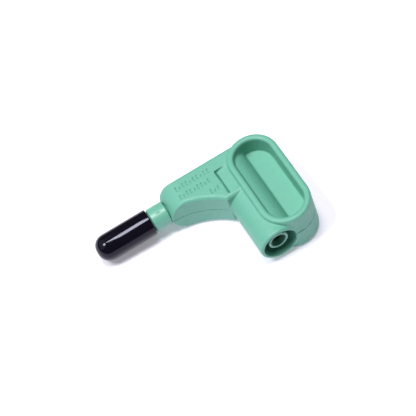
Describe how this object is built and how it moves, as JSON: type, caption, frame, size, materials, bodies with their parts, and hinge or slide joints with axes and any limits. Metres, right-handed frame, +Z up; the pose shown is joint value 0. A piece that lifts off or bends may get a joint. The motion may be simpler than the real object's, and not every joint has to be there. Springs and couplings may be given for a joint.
{
  "type": "magnetic test probe adaptor",
  "caption": "Right-angle electrical test adaptor: a shrouded 4 mm safety socket, an obround finger grip and a magnetic probe tip under a push-on protective cap.",
  "frame": {"origin": "centre of the socket's mouth, on the socket's axis", "axes": "+Y into the socket along its axis, -X along the probe towards its tip, +Z up, square to the plane where the two shells meet"},
  "size_m": [0.0588, 0.0326, 0.0142],
  "materials": {
    "green_moulding": "fine matt moulded texture",
    "green_insulator": "satin moulded",
    "nickel_plating": "bright nickel plate on turned metal",
    "spring_steel": "plain spring steel",
    "copper": "bare stranded copper",
    "silicone_jacket": "soft satin",
    "tin_plating": "dull tin plate",
    "heat_shrink": "satin shrunk sleeve",
    "brass": "turned",
    "magnet_nickel": "nickel-plated magnet",
    "gold_plating": "gold flash",
    "black_vinyl": "high gloss dip-moulded vinyl"
  },
  "bodies": {
    "adaptor": {"upper_shell": "green_moulding", "lower_shell": "green_moulding", "socket_sleeve": "green_insulator", "socket_contact": "nickel_plating", "contact_spring_ring": "spring_steel", "socket_end_plug": "green_insulator", "link_core": "copper", "link_insulation": "silicone_jacket", "socket_ferrule": "tin_plating", "probe_ferrule": "tin_plating", "socket_heat_shrink": "heat_shrink", "probe_heat_shrink": "heat_shrink", "probe_rod": "brass", "nose_sleeve": "green_insulator", "magnet_cup": "nickel_plating", "tip_magnet": "magnet_nickel", "contact_disc": "gold_plating"},
    "cap": {"tip_cap": "black_vinyl"}
  },
  "joints": [
    {"name": "cap_slide", "type": "slide", "parent": "adaptor", "child": "cap", "axis": [-1, 0, 0], "range_m": [0, 0.018]}
  ]
}
